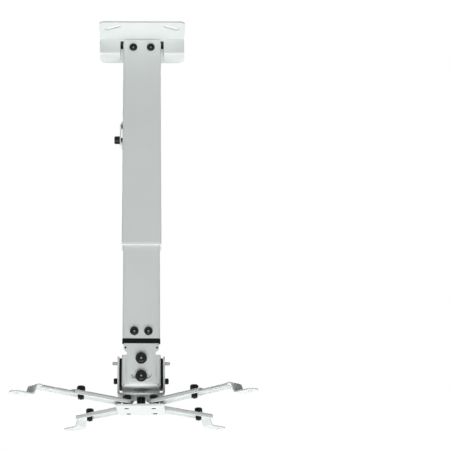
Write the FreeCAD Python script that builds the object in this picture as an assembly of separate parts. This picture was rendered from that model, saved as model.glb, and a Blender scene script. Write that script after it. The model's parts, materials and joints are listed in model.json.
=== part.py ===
import math
import os
import FreeCAD
import Part

# Ceiling hung projector mount with a telescopic square column, a two way tilt
# head, a swivel hub and four swinging, sliding arms. Millimetres, +Z up. The
# origin is on the ceiling plane, on the axis of the column. The front of the
# mount faces -Y and its rear +Y.

os.makedirs("parts", exist_ok=True)

# Clearances
SLIDE_GAP = 0.25
ROUND_GAP = 0.3
RUN_FIT = 0.06
HOLE_FIT = 0.2
SHEET_FIT = 0.2

# Ceiling plate and the channel welded under it
PLATE_SIDE = 112.0
PLATE_THICK = 2.0
PLATE_CORNER = 7.0
PLATE_SLOT_LENGTH = 22.0
PLATE_SLOT_WIDTH = 6.5
PLATE_SLOT_X = 38.5
PLATE_SLOT_Y = 42.0
PLATE_SLOT_TURN = 26.0
CHANNEL_HEIGHT = 22.0
CHANNEL_SHEET = 2.0
CHANNEL_BEND = 3.0
SLIT_WIDTH = 7.2
SLIT_INSET = 0.5
SLIT_ROOF = 0.8

# Column
TUBE_WIDTH = 50.0
TUBE_DEPTH = 26.6
TUBE_WALL = 1.2
TUBE_CORNER = 3.0
TUBE_TOP = -3.8
TUBE_LENGTH = 284.2
TUBE_TOP_ROUND = 5.0
INNER_SIDE_GAP = 0.8
INNER_FACE_GAP = 1.1
INNER_CORNER = 3.0
INNER_SHOWN = 123.0
INNER_INSIDE = 202.0
COLLAR_RIM = 3.0
COLLAR_SPIGOT = 8.0
COLUMN_UP = 60.0
COLUMN_DOWN = 50.0
CAP_HEIGHT = 6.0
CAP_LIP = 6.0
CAP_OVER = 0.2
TOP_BOLT_X = 11.5
TOP_BOLT_DROP = 15.0
FOOT_BOLT_X = 8.6
FOOT_BOLT_RISE = 9.0

# Height lock on the left of the column
LOCK_RISE = 144.5
LOCK_STAND = 3.4
LOCK_SHEET = 1.5
LOCK_WIDTH = 16.0
LOCK_ABOVE = 24.0
LOCK_BELOW = 11.0
LOCK_FLAT = 5.5
LOCK_TOE = 2.85
LOCK_CREASE = 0.9
LOCK_HEAD_TALL = 7.2
LOCK_SLOT_SPARE = 1.0
LOCK_SLOT_PLAY = 0.5
LOCK_NUT_SIDE = 10.0
LOCK_NUT_THICK = 4.0

# Screws
M4_SHANK = 4.0
M4_HEAD = 7.0
M4_HEAD_TALL = 4.6
M4_SOCKET = 3.0
M4_NUT = 7.0
M4_NUT_TALL = 3.2
M6_SHANK = 6.0
M6_HEAD = 10.5
M6_HEAD_TALL = 3.3
M6_SOCKET = 4.0
M6_CAP_HEAD = 10.0
M6_CAP_SOCKET = 5.0
M6_NUT = 10.0
M6_NUT_TALL = 5.0
M8_SHANK = 8.0
M8_DOME = 14.0
M8_DOME_TALL = 5.0
M8_SOCKET = 5.0
M8_NUT = 13.0
M8_NUT_TALL = 5.0
SOCKET_DEPTH = 2.0
HEAD_CHAMFER = 0.6
NUT_BEYOND = 2.0

# Tongue that hangs the head from the column
HEAD_SHEET = 2.0
TONGUE_WIDTH = 35.0
TONGUE_INSIDE = 46.0
SHOULDER_DROP = 10.7
FLANGE_DROP = 4.0
FLANGE_DEPTH = 14.6
TONGUE_DROP = 48.0
PIVOT_DROP = 18.5
ROLL_ARM = 21.7
ROLL_SLOT_HALF = 22.0
TONGUE_BEND = 3.2
TONGUE_ROUND = 6.0
SHOULDER_INSET = 0.9
SHOULDER_RISE = 8.0
SHOULDER_ROUND = 4.5
SHOULDER_HOLE = 1.8
SHOULDER_HOLE_X = 19.0
SHOULDER_HOLE_DROP = 5.2
WEB_SIDE_FIT = 0.3

# Tilt box and yoke
BOX_WIDTH = 47.2
BOX_DEPTH = 42.6
BOX_ABOVE_PIVOT = 5.1
BOX_BELOW_PIVOT = 33.5
BOX_HOLE = 18.0
BOX_BEND = 3.0
YOKE_SHEET = 2.2
YOKE_WIDTH = 57.4
YOKE_DEPTH = 40.0
YOKE_ABOVE_AXLE = 4.8
YOKE_BELOW_AXLE = 42.3
YOKE_BEND = 3.5
YOKE_TOP_ROUND = 4.0
YOKE_LIP = 3.5
AXLE_DROP = 1.0
AXLE_DIA = 4.0
AXLE_LENGTH = 70.8
TILT_ARM = 22.0
TILT_SLOT_HALF = 18.0
SPACER_DEPTH = 34.0
SPACER_ABOVE_AXLE = 3.5
SPACER_BELOW_AXLE = 31.0
SPACER_CORNER = 4.0

# Swivel hub
HUB_SIDE = 58.0
HUB_THICK = 2.5
HUB_CORNER = 4.0
HUB_DROP = 13.1
HUB_TURN = -3.5
SWIVEL_SPACER = 10.5
STUD_BEYOND = 0.2
SWIVEL_NUT_TALL = 3.5
RIVET_OFFSET = 16.2
RIVET_DIA = 6.0
RIVET_SHOULDER = 10.0
RIVET_HEAD = 8.0
RIVET_HEAD_TALL = 1.5
RIVET_TOP_HEAD = 9.6
RIVET_TOP_TALL = 4.9
RIVET_PLAY = 0.2

# Arms: channels open downward, the foot arm sliding inside the swinging arm
ARM_SHEET = 1.5
ARM_WIDTH = 19.0
ARM_HEIGHT = 5.1
ARM_GAP = 1.4
ARM_BEND = 2.4
ARM_REACH = 72.1
ARM_END = 16.0
ARM_FLANGE_START = 2.0
FOOT_NEAR = 12.0
FOOT_END_GAP = 1.1
FOOT_END_WALL = 7.0
FOOT_FLANGE_STOP = 7.0
FOOT_DROP = 11.85
FOOT_LEAN = 4.7
FOOT_BEND = 2.5
FOOT_TOE = 31.0
FOOT_HOLE = 5.2
FOOT_HOLE_OUT = 22.0
ARM_END_INSET = 0.6
TOE_CORNER_INSET = 0.4
ARM_SHANK = 4.0
ARM_HEAD = 9.6
ARM_HEAD_TALL = 5.9
ARM_SOCKET = 4.0
ARM_NUT = 7.0
ARM_NUT_TALL = 5.0
ARM_WASHER = 12.0
ARM_WASHER_THICK = 0.8
ARM_SCREW_END = 0.8

# Shown pose: how far each foot is short of its nearer stop, and how far each arm is swung
FRONT_RIGHT_IN = 2.0
REAR_LEFT_OUT = 2.0
FRONT_LEFT_TURN = 1.6
FRONT_RIGHT_TURN = -1.6
REAR_LEFT_TURN = 2.1
REAR_RIGHT_TURN = -1.4

# Levels and planes that follow from the sizes above
TUBE_END = TUBE_TOP - TUBE_LENGTH
LOCK_Z = TUBE_END + LOCK_RISE
INNER_WIDTH = TUBE_WIDTH - 2 * (TUBE_WALL + INNER_SIDE_GAP)
INNER_DEPTH = TUBE_DEPTH - 2 * (TUBE_WALL + INNER_FACE_GAP)
INNER_END = TUBE_END - INNER_SHOWN
INNER_TOP = TUBE_END + INNER_INSIDE
CHANNEL_DEPTH = TUBE_DEPTH - 2 * TUBE_WALL - SHEET_FIT
CAP_END = INNER_END - CAP_HEIGHT
INNER_FRONT = -INNER_DEPTH / 2
WEB_FRONT = INNER_FRONT + TUBE_WALL + SHEET_FIT
WEB_BACK = WEB_FRONT + HEAD_SHEET
WEB_HALF = INNER_WIDTH / 2 - TUBE_WALL - WEB_SIDE_FIT
PIVOT_Z = CAP_END - PIVOT_DROP
BOX_FRONT = WEB_BACK + ROUND_GAP
BOX_BACK = BOX_FRONT + BOX_DEPTH
BOX_TOP = PIVOT_Z + BOX_ABOVE_PIVOT
BOX_BOTTOM = PIVOT_Z - BOX_BELOW_PIVOT
HEAD_Y = BOX_FRONT + BOX_DEPTH / 2
AXLE_Z = PIVOT_Z - AXLE_DROP
YOKE_TOP = AXLE_Z + YOKE_ABOVE_AXLE
YOKE_BOTTOM = AXLE_Z - YOKE_BELOW_AXLE
HUB_TOP = YOKE_BOTTOM - HUB_DROP
HUB_BOTTOM = HUB_TOP - HUB_THICK
RIVET_RADIUS = RIVET_OFFSET * math.sqrt(2)
ARM_LOW = HUB_TOP + ARM_GAP
ARM_TOP = ARM_LOW + ARM_HEIGHT
ARM_WEB_LOW = ARM_TOP - ARM_SHEET
FOOT_TOP = ARM_WEB_LOW - SLIDE_GAP
FOOT_WEB_LOW = FOOT_TOP - ARM_SHEET
FOOT_LOW = FOOT_WEB_LOW - FOOT_DROP
FOOT_WIDTH = ARM_WIDTH - 2 * (ARM_SHEET + ROUND_GAP)
FOOT_LENGTH = ARM_REACH + FOOT_NEAR - RIVET_SHOULDER / 2 - FOOT_END_GAP
FOOT_FAR = FOOT_LENGTH - FOOT_END_WALL

# Hub corner, swing and reach of the riser beyond the clamp screw, for each arm
SPOTS = {
    "front_left": (-135.0, FRONT_LEFT_TURN, FOOT_FAR),
    "front_right": (-45.0, FRONT_RIGHT_TURN, FOOT_FAR - FRONT_RIGHT_IN),
    "rear_left": (135.0, REAR_LEFT_TURN, FOOT_NEAR + REAR_LEFT_OUT),
    "rear_right": (45.0, REAR_RIGHT_TURN, FOOT_NEAR),
}


def vec(x, y, z):
    return FreeCAD.Vector(x, y, z)


X_AXIS = vec(1, 0, 0)
Y_AXIS = vec(0, 1, 0)
Z_AXIS = vec(0, 0, 1)


def box(x0, x1, y0, y1, z0, z1):
    return Part.makeBox(x1 - x0, y1 - y0, z1 - z0, vec(x0, y0, z0))


def cyl(radius, height, base, axis):
    return Part.makeCylinder(radius, height, base, axis)


def polygon(points, pull):
    wire = Part.makePolygon([vec(*p) for p in points] + [vec(*points[0])])
    return Part.Face(wire).extrude(vec(*pull))


def rounded_plate(half_u, half_v, radius, place):
    """Flat face of a rounded rectangle, mapped to space by the function place."""
    inner_u = half_u - radius
    inner_v = half_v - radius
    turn = radius * math.sqrt(0.5)
    edges = []
    corners = [(1, -1), (1, 1), (-1, 1), (-1, -1)]
    starts = [(half_u, -inner_v), (inner_u, half_v), (-half_u, inner_v), (-inner_u, -half_v)]
    ends = [(half_u, inner_v), (-inner_u, half_v), (-half_u, -inner_v), (inner_u, -half_v)]
    for index in range(4):
        edges.append(Part.makeLine(place(*starts[index]), place(*ends[index])))
        side_u, side_v = corners[(index + 1) % 4]
        middle = (side_u * (inner_u + turn), side_v * (inner_v + turn))
        following = starts[(index + 1) % 4]
        edges.append(Part.Arc(place(*ends[index]), place(*middle), place(*following)).toShape())
    return Part.Face(Part.Wire(edges))


def rounded_bar(width, depth, radius, z0, z1):
    """Upright bar of rounded rectangle section, centred on the column axis."""
    face = rounded_plate(width / 2, depth / 2, radius, lambda u, v: vec(u, v, z0))
    return face.extrude(vec(0, 0, z1 - z0))


def slot_bar(length, width, height, base):
    """Straight slot cutter along X, its length measured over both ends."""
    half = (length - width) / 2
    bar = box(-half, half, -width / 2, width / 2, 0, height)
    bar = bar.fuse(cyl(width / 2, height, vec(-half, 0, 0), Z_AXIS))
    bar = bar.fuse(cyl(width / 2, height, vec(half, 0, 0), Z_AXIS)).removeSplitter()
    bar.translate(base)
    return bar


def arc_slot(centre, axis, first, radius, width, half_angle, depth):
    """Curved slot cutter: an arc about an axis, with round ends."""
    start = cyl(width / 2, depth, vec(0, 0, 0), axis)
    start.translate(centre + first * radius)
    ring = cyl(radius + width / 2, depth, centre, axis)
    ring = ring.cut(cyl(radius - width / 2, depth, centre, axis))
    reach = 2 * radius
    side = axis.cross(first)
    tip = first * reach * math.cos(math.radians(half_angle))
    swing = side * reach * math.sin(math.radians(half_angle))
    wedge = Part.makePolygon([centre, centre + tip + swing, centre + tip - swing, centre])
    sector = Part.Face(wedge).extrude(axis * depth)
    slot = ring.common(sector)
    for sign in (1, -1):
        end = start.copy()
        end.rotate(centre, axis, sign * half_angle)
        slot = slot.fuse(end)
    return slot.removeSplitter()


def hexagon(across, height, base, axis):
    radius = across / math.sqrt(3)
    points = []
    for step in range(7):
        angle = math.radians(60 * step)
        points.append(vec(radius * math.cos(angle), radius * math.sin(angle), 0))
    prism = Part.Face(Part.makePolygon(points)).extrude(vec(0, 0, height))
    prism.Placement = FreeCAD.Placement(base, FreeCAD.Rotation(Z_AXIS, axis))
    return prism


def dome(diameter, tall, base, axis):
    """Button head: a short rim, two sloping bands and a flat crown."""
    radius = diameter / 2
    profile = [
        (0, 0),
        (radius, 0),
        (radius, 0.22 * tall),
        (0.84 * radius, 0.7 * tall),
        (0.55 * radius, tall),
        (0, tall),
        (0, 0),
    ]
    wire = Part.makePolygon([vec(across, 0, up) for across, up in profile])
    head = Part.Face(wire).revolve(vec(0, 0, 0), Z_AXIS, 360)
    head.Placement = FreeCAD.Placement(base, FreeCAD.Rotation(Z_AXIS, axis))
    return head


def button_screw(head, tall, shank, length, socket, base, axis):
    """Button head standing on base along axis, its shank going the other way."""
    screw = dome(head, tall, base, axis)
    screw = screw.cut(hexagon(socket, SOCKET_DEPTH, base + axis * (tall - SOCKET_DEPTH), axis))
    return screw.fuse(cyl(shank / 2, length, base - axis * length, axis))


def cap_screw(head, tall, shank, length, socket, base, axis):
    """Socket cap head standing on base along axis, its shank going the other way."""
    body = cyl(head / 2, tall, base, axis)
    rim = [edge for edge in body.Edges if edge.BoundBox.Center.sub(base + axis * tall).Length < 1e-6]
    body = body.makeChamfer(HEAD_CHAMFER, rim)
    body = body.cut(hexagon(socket, SOCKET_DEPTH, base + axis * (tall - SOCKET_DEPTH), axis))
    return body.fuse(cyl(shank / 2, length, base - axis * length, axis))


def save(name, shape):
    solid = shape.removeSplitter()
    if len(solid.Solids) != 1:
        raise ValueError(name + " is not one solid")
    solid.Solids[0].exportStep("parts/" + name + ".step")


# Ceiling plate with four slanted slots, and the welded channel with its slits
plate_face = rounded_plate(PLATE_SIDE / 2, PLATE_SIDE / 2, PLATE_CORNER, lambda u, v: vec(u, v, -PLATE_THICK))
plate = plate_face.extrude(vec(0, 0, PLATE_THICK))
for side_x in (1, -1):
    for side_y in (1, -1):
        cutter = slot_bar(PLATE_SLOT_LENGTH, PLATE_SLOT_WIDTH, PLATE_THICK + 2, vec(0, 0, -PLATE_THICK - 1))
        cutter.rotate(vec(0, 0, 0), Z_AXIS, -side_x * side_y * PLATE_SLOT_TURN)
        cutter.translate(vec(side_x * PLATE_SLOT_X, side_y * PLATE_SLOT_Y, 0))
        plate = plate.cut(cutter)
save("ceiling_plate", plate)

channel_base = -PLATE_THICK - CHANNEL_HEIGHT
half_depth = CHANNEL_DEPTH / 2
half_side = PLATE_SIDE / 2
channel = box(-half_side, half_side, -half_depth, half_depth, channel_base, -PLATE_THICK)
low_edges = []
for edge in channel.Edges:
    middle = edge.BoundBox.Center
    if abs(middle.z - channel_base) < 1e-6 and abs(middle.x) < 1e-6:
        low_edges.append(edge)
channel = channel.makeFillet(CHANNEL_BEND, low_edges)
inside = box(
    -half_side - 1,
    half_side + 1,
    -half_depth + CHANNEL_SHEET,
    half_depth - CHANNEL_SHEET,
    channel_base + CHANNEL_SHEET,
    -PLATE_THICK + 1,
)
channel = channel.cut(inside)
slit_inner = TUBE_WIDTH / 2 - TUBE_CORNER - SLIT_INSET
for side_x in (1, -1):
    edges_x = sorted([side_x * slit_inner, side_x * (slit_inner + SLIT_WIDTH)])
    slit_top = TUBE_TOP - SLIT_ROOF
    slit = box(edges_x[0], edges_x[1], -half_depth - 1, half_depth + 1, channel_base - 1, slit_top)
    channel = channel.cut(slit)
    hole_at = vec(side_x * TOP_BOLT_X, -half_depth - 1, -TOP_BOLT_DROP)
    bolt_hole = cyl(M6_SHANK / 2 + HOLE_FIT, CHANNEL_DEPTH + 2, hole_at, Y_AXIS)
    channel = channel.cut(bolt_hole)
save("ceiling_channel", channel)

# Outer tube, its rim collar and the two bolts that hang it
tube = rounded_bar(TUBE_WIDTH, TUBE_DEPTH, TUBE_CORNER, TUBE_END, TUBE_TOP)
bore_width = TUBE_WIDTH - 2 * TUBE_WALL
bore_depth = TUBE_DEPTH - 2 * TUBE_WALL
tube_bore = rounded_bar(bore_width, bore_depth, TUBE_CORNER - TUBE_WALL, TUBE_END - 1, TUBE_TOP + 1)
tube = tube.cut(tube_bore)
middle_z = (TUBE_TOP + TUBE_END) / 2 - TUBE_TOP_ROUND
outline = rounded_plate(
    TUBE_WIDTH / 2,
    TUBE_TOP - middle_z,
    TUBE_TOP_ROUND,
    lambda u, v: vec(u, -TUBE_DEPTH, middle_z + v),
)
tube = tube.common(outline.extrude(vec(0, 2 * TUBE_DEPTH, 0)))
for side_x in (1, -1):
    hole_at = vec(side_x * TOP_BOLT_X, -TUBE_DEPTH / 2 - 1, -TOP_BOLT_DROP)
    bolt_hole = cyl(M6_SHANK / 2 + HOLE_FIT, TUBE_DEPTH + 2, hole_at, Y_AXIS)
    tube = tube.cut(bolt_hole)
lock_hole = cyl(M6_SHANK / 2 + HOLE_FIT, 2 * TUBE_WALL + 2, vec(-TUBE_WIDTH / 2 - 1, 0, LOCK_Z), X_AXIS)
tube = tube.cut(lock_hole)
save("outer_tube", tube)

collar_open_width = INNER_WIDTH + 2 * ROUND_GAP
collar_open_depth = INNER_DEPTH + 2 * ROUND_GAP
collar = rounded_bar(TUBE_WIDTH, TUBE_DEPTH, TUBE_CORNER, TUBE_END - COLLAR_RIM, TUBE_END)
spigot = rounded_bar(
    bore_width - SHEET_FIT / 2,
    bore_depth - SHEET_FIT / 2,
    TUBE_CORNER - TUBE_WALL,
    TUBE_END,
    TUBE_END + COLLAR_SPIGOT,
)
collar = collar.fuse(spigot)
collar_bore = rounded_bar(
    collar_open_width,
    collar_open_depth,
    INNER_CORNER,
    TUBE_END - COLLAR_RIM - 1,
    TUBE_END + COLLAR_SPIGOT + 1,
)
collar = collar.cut(collar_bore)
save("column_collar", collar)

for name, side_x in (("top_bolt_left", -1), ("top_bolt_right", 1)):
    base = vec(side_x * TOP_BOLT_X, -TUBE_DEPTH / 2, -TOP_BOLT_DROP)
    length = TUBE_DEPTH + M6_NUT_TALL + NUT_BEYOND
    bolt = button_screw(M6_HEAD, M6_HEAD_TALL, M6_SHANK, length, M6_SOCKET, base, vec(0, -1, 0))
    nut = hexagon(M6_NUT, M6_NUT_TALL, vec(side_x * TOP_BOLT_X, TUBE_DEPTH / 2, -TOP_BOLT_DROP), Y_AXIS)
    save(name, bolt.fuse(nut))

# Height lock: a sprung saddle, its screw and a square nut inside the inner tube
wall_x = -TUBE_WIDTH / 2
crown_x = wall_x - LOCK_STAND
top_z = LOCK_Z + LOCK_ABOVE
low_z = LOCK_Z - LOCK_BELOW
saddle_points = [
    (wall_x, -LOCK_WIDTH / 2, top_z),
    (crown_x, -LOCK_WIDTH / 2, top_z - LOCK_FLAT),
    (crown_x, -LOCK_WIDTH / 2, low_z + LOCK_FLAT),
    (wall_x, -LOCK_WIDTH / 2, low_z),
    (wall_x, -LOCK_WIDTH / 2, low_z + LOCK_TOE),
    (crown_x + LOCK_SHEET, -LOCK_WIDTH / 2, low_z + LOCK_FLAT + LOCK_CREASE),
    (crown_x + LOCK_SHEET, -LOCK_WIDTH / 2, top_z - LOCK_FLAT - LOCK_CREASE),
    (wall_x, -LOCK_WIDTH / 2, top_z - LOCK_TOE),
]
saddle = polygon(saddle_points, (0, LOCK_WIDTH, 0))
saddle_hole = cyl(M6_SHANK / 2 + HOLE_FIT, LOCK_STAND + 2, vec(crown_x - 1, 0, LOCK_Z), X_AXIS)
save("lock_saddle", saddle.cut(saddle_hole))

lock_nut_face = -INNER_WIDTH / 2 + TUBE_WALL + ROUND_GAP
lock_length = lock_nut_face + LOCK_NUT_THICK - crown_x + 1
lock_screw = cap_screw(
    M6_CAP_HEAD,
    LOCK_HEAD_TALL,
    M6_SHANK,
    lock_length,
    M6_CAP_SOCKET,
    vec(crown_x, 0, LOCK_Z),
    vec(-1, 0, 0),
)
save("lock_screw", lock_screw)
half_nut = LOCK_NUT_SIDE / 2
lock_nut = box(
    lock_nut_face,
    lock_nut_face + LOCK_NUT_THICK,
    -half_nut,
    half_nut,
    LOCK_Z - half_nut,
    LOCK_Z + half_nut,
)
nut_bore = cyl(M6_SHANK / 2, LOCK_NUT_THICK + 2, vec(lock_nut_face - 1, 0, LOCK_Z), X_AXIS)
save("lock_nut", lock_nut.cut(nut_bore))

# Inner tube with the long lock slot in its left wall, and its end cap
inner = rounded_bar(INNER_WIDTH, INNER_DEPTH, INNER_CORNER, INNER_END, INNER_TOP)
inner_bore = rounded_bar(
    INNER_WIDTH - 2 * TUBE_WALL,
    INNER_DEPTH - 2 * TUBE_WALL,
    INNER_CORNER - TUBE_WALL,
    INNER_END - 1,
    INNER_TOP + 1,
)
inner = inner.cut(inner_bore)
slot_high = LOCK_Z + COLUMN_DOWN + M6_SHANK / 2 + LOCK_SLOT_SPARE
slot_low = LOCK_Z - COLUMN_UP - M6_SHANK / 2 - LOCK_SLOT_SPARE
slot_half = M6_SHANK / 2 + LOCK_SLOT_PLAY
slot_x = -INNER_WIDTH / 2
lock_slot = box(slot_x - 1, slot_x + TUBE_WALL + 1, -slot_half, slot_half, slot_low, slot_high)
inner = inner.cut(lock_slot)
foot_bolt_z = INNER_END + FOOT_BOLT_RISE
for side_x in (1, -1):
    hole_at = vec(side_x * FOOT_BOLT_X, INNER_FRONT - 1, foot_bolt_z)
    bolt_hole = cyl(M6_SHANK / 2 + HOLE_FIT, TUBE_WALL + 2, hole_at, Y_AXIS)
    inner = inner.cut(bolt_hole)
save("inner_tube", inner)

cap = rounded_bar(INNER_WIDTH + 2 * CAP_OVER, INNER_DEPTH + 2 * CAP_OVER, INNER_CORNER, CAP_END, INNER_END)
cap_bore = rounded_bar(
    2 * WEB_HALF + SHEET_FIT,
    -2 * WEB_FRONT + SHEET_FIT,
    INNER_CORNER - TUBE_WALL,
    CAP_END - 1,
    INNER_END + 1,
)
cap_back = box(-INNER_WIDTH, INNER_WIDTH, INNER_FRONT + CAP_LIP, INNER_DEPTH, CAP_END - 1, INNER_END + 1)
save("end_cap", cap.cut(cap_bore).cut(cap_back))

# Tongue: a channel plugged into the tube, shoulders below it and a narrow tongue
web_top = INNER_END + TONGUE_INSIDE
flange_end = CAP_END - FLANGE_DROP
shoulder_end = CAP_END - SHOULDER_DROP
tongue_end = CAP_END - TONGUE_DROP
body = box(-WEB_HALF, WEB_HALF, WEB_FRONT, WEB_FRONT + FLANGE_DEPTH, flange_end, web_top)
front_edges = []
for edge in body.Edges:
    middle = edge.BoundBox.Center
    upright = edge.BoundBox.ZLength > TONGUE_INSIDE
    if upright and abs(middle.y - WEB_FRONT) < 1e-6:
        front_edges.append(edge)
body = body.makeFillet(TONGUE_BEND, front_edges)
hollow_half = WEB_HALF - HEAD_SHEET
hollow = box(-hollow_half, hollow_half, WEB_BACK, WEB_FRONT + FLANGE_DEPTH + 1, flange_end - 1, web_top + 1)
body = body.cut(hollow)
shoulder_half = (flange_end + SHOULDER_RISE - shoulder_end) / 2
shoulder = rounded_plate(
    WEB_HALF - SHOULDER_INSET,
    shoulder_half,
    SHOULDER_ROUND,
    lambda u, v: vec(u, WEB_FRONT, shoulder_end + shoulder_half + v),
).extrude(vec(0, HEAD_SHEET, 0))
strip_half = (flange_end - tongue_end) / 2
strip = rounded_plate(
    TONGUE_WIDTH / 2,
    strip_half,
    TONGUE_ROUND,
    lambda u, v: vec(u, WEB_FRONT, tongue_end + strip_half + v),
).extrude(vec(0, HEAD_SHEET, 0))
neck_half = TONGUE_WIDTH / 2
neck = box(-neck_half, neck_half, WEB_FRONT, WEB_BACK, shoulder_end - SHOULDER_RISE, flange_end + 2)
tongue = body.fuse(shoulder).fuse(strip).fuse(neck)
pivot_centre = vec(0, WEB_FRONT - 1, PIVOT_Z)
tongue = tongue.cut(cyl(M8_SHANK / 2 + RUN_FIT, HEAD_SHEET + 2, pivot_centre, Y_AXIS))
roll_slot = arc_slot(
    pivot_centre,
    Y_AXIS,
    vec(0, 0, -1),
    ROLL_ARM,
    M8_SHANK + 2 * ROUND_GAP,
    ROLL_SLOT_HALF,
    HEAD_SHEET + 2,
)
tongue = tongue.cut(roll_slot)
for side_x in (1, -1):
    hole_at = vec(side_x * FOOT_BOLT_X, WEB_FRONT - 1, foot_bolt_z)
    bolt_hole = cyl(M6_SHANK / 2 + HOLE_FIT, HEAD_SHEET + 2, hole_at, Y_AXIS)
    tongue = tongue.cut(bolt_hole)
    ear_at = vec(side_x * SHOULDER_HOLE_X, WEB_FRONT - 1, CAP_END - SHOULDER_HOLE_DROP)
    tongue = tongue.cut(cyl(SHOULDER_HOLE / 2, HEAD_SHEET + 2, ear_at, Y_AXIS))
save("head_tongue", tongue)

for name, side_x in (("tongue_bolt_left", -1), ("tongue_bolt_right", 1)):
    base = vec(side_x * FOOT_BOLT_X, INNER_FRONT, foot_bolt_z)
    length = WEB_BACK - INNER_FRONT + M6_NUT_TALL + NUT_BEYOND
    bolt = button_screw(M6_HEAD, M6_HEAD_TALL, M6_SHANK, length, M6_SOCKET, base, vec(0, -1, 0))
    nut = hexagon(M6_NUT, M6_NUT_TALL, vec(side_x * FOOT_BOLT_X, WEB_BACK, foot_bolt_z), Y_AXIS)
    save(name, bolt.fuse(nut))

# Tilt box: a cup folded from one sheet, with relief notches at its lower front corners
box_half = BOX_WIDTH / 2
relief = BOX_BEND + SHEET_FIT
tilt_box = box(-box_half, box_half, BOX_FRONT, BOX_BACK, BOX_BOTTOM, BOX_TOP)
for side_x in (1, -1):
    notch_x = sorted([side_x * (box_half - relief), side_x * (box_half + 1)])
    notch_top = BOX_BOTTOM + relief
    notch = box(notch_x[0], notch_x[1], BOX_FRONT - 1, BOX_FRONT + relief, BOX_BOTTOM - 1, notch_top)
    tilt_box = tilt_box.cut(notch)
bend_edges = []
for edge in tilt_box.Edges:
    middle = edge.BoundBox.Center
    at_front = abs(middle.y - BOX_FRONT) < 1e-6
    at_floor = abs(middle.z - BOX_BOTTOM) < 1e-6
    at_side = abs(abs(middle.x) - box_half) < 1e-6
    if (at_front and at_side) or (at_front and at_floor) or (at_floor and at_side):
        bend_edges.append(edge)
tilt_box = tilt_box.makeFillet(BOX_BEND, bend_edges)
hollow_half = box_half - HEAD_SHEET
hollow = box(
    -hollow_half,
    hollow_half,
    BOX_FRONT + HEAD_SHEET,
    BOX_BACK - HEAD_SHEET,
    BOX_BOTTOM + HEAD_SHEET,
    BOX_TOP + 1,
)
tilt_box = tilt_box.cut(hollow)
tilt_box = tilt_box.cut(cyl(BOX_HOLE / 2, HEAD_SHEET + 2, vec(0, HEAD_Y, BOX_BOTTOM - 1), Z_AXIS))
for drop in (0, ROLL_ARM):
    bolt_hole = cyl(M8_SHANK / 2, HEAD_SHEET + 2, vec(0, BOX_FRONT - 1, PIVOT_Z - drop), Y_AXIS)
    tilt_box = tilt_box.cut(bolt_hole)
axle_hole = cyl(AXLE_DIA / 2, BOX_WIDTH + 2, vec(-box_half - 1, HEAD_Y, AXLE_Z), X_AXIS)
tilt_box = tilt_box.cut(axle_hole)
screw_hole = cyl(M4_SHANK / 2, BOX_WIDTH + 2, vec(-box_half - 1, HEAD_Y, AXLE_Z - TILT_ARM), X_AXIS)
tilt_box = tilt_box.cut(screw_hole)
save("tilt_box", tilt_box)

for name, drop in (("roll_pivot_bolt", 0), ("roll_clamp_bolt", ROLL_ARM)):
    base = vec(0, WEB_FRONT - ROUND_GAP, PIVOT_Z - drop)
    length = BOX_FRONT + HEAD_SHEET - base.y + M8_NUT_TALL + NUT_BEYOND
    bolt = button_screw(M8_DOME, M8_DOME_TALL, M8_SHANK, length, M8_SOCKET, base, vec(0, -1, 0))
    nut = hexagon(M8_NUT, M8_NUT_TALL, vec(0, BOX_FRONT + HEAD_SHEET, PIVOT_Z - drop), Y_AXIS)
    save(name, bolt.fuse(nut))

# Tilt axle, the friction pads beside the box and the two clamp screws of the yoke
axle = cyl(AXLE_DIA / 2, AXLE_LENGTH, vec(-AXLE_LENGTH / 2, HEAD_Y, AXLE_Z), X_AXIS)
axle = axle.makeChamfer(HEAD_CHAMFER, [edge for edge in axle.Edges if edge.BoundBox.XLength < 1e-6])
save("tilt_axle", axle)
yoke_inner = YOKE_WIDTH / 2 - YOKE_SHEET
pad_thick = yoke_inner - ROUND_GAP - box_half
pad_half = (SPACER_ABOVE_AXLE + SPACER_BELOW_AXLE) / 2
pad_middle = AXLE_Z + SPACER_ABOVE_AXLE - pad_half
tilt_z = AXLE_Z - TILT_ARM
for name, side_x in (("left", -1), ("right", 1)):
    out = vec(side_x, 0, 0)
    inner_x = side_x * box_half
    pad = rounded_plate(
        SPACER_DEPTH / 2,
        pad_half,
        SPACER_CORNER,
        lambda u, v: vec(inner_x, HEAD_Y + u, pad_middle + v),
    ).extrude(out * pad_thick)
    pad = pad.cut(cyl(AXLE_DIA / 2, pad_thick + 2, vec(inner_x, HEAD_Y, AXLE_Z) - out, out))
    pad = pad.cut(cyl(M4_SHANK / 2, pad_thick + 2, vec(inner_x, HEAD_Y, tilt_z) - out, out))
    save("axle_spacer_" + name, pad)
    seat = vec(side_x * (YOKE_WIDTH / 2 + ROUND_GAP), HEAD_Y, tilt_z)
    length = YOKE_WIDTH / 2 + ROUND_GAP - box_half + HEAD_SHEET + M4_NUT_TALL + NUT_BEYOND
    screw = cap_screw(M4_HEAD, M4_HEAD_TALL, M4_SHANK, length, M4_SOCKET, seat, out)
    nut_base = vec(side_x * (box_half - HEAD_SHEET), HEAD_Y, tilt_z)
    screw = screw.fuse(hexagon(M4_NUT, M4_NUT_TALL, nut_base, out * -1))
    save("tilt_screw_" + name, screw)

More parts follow.
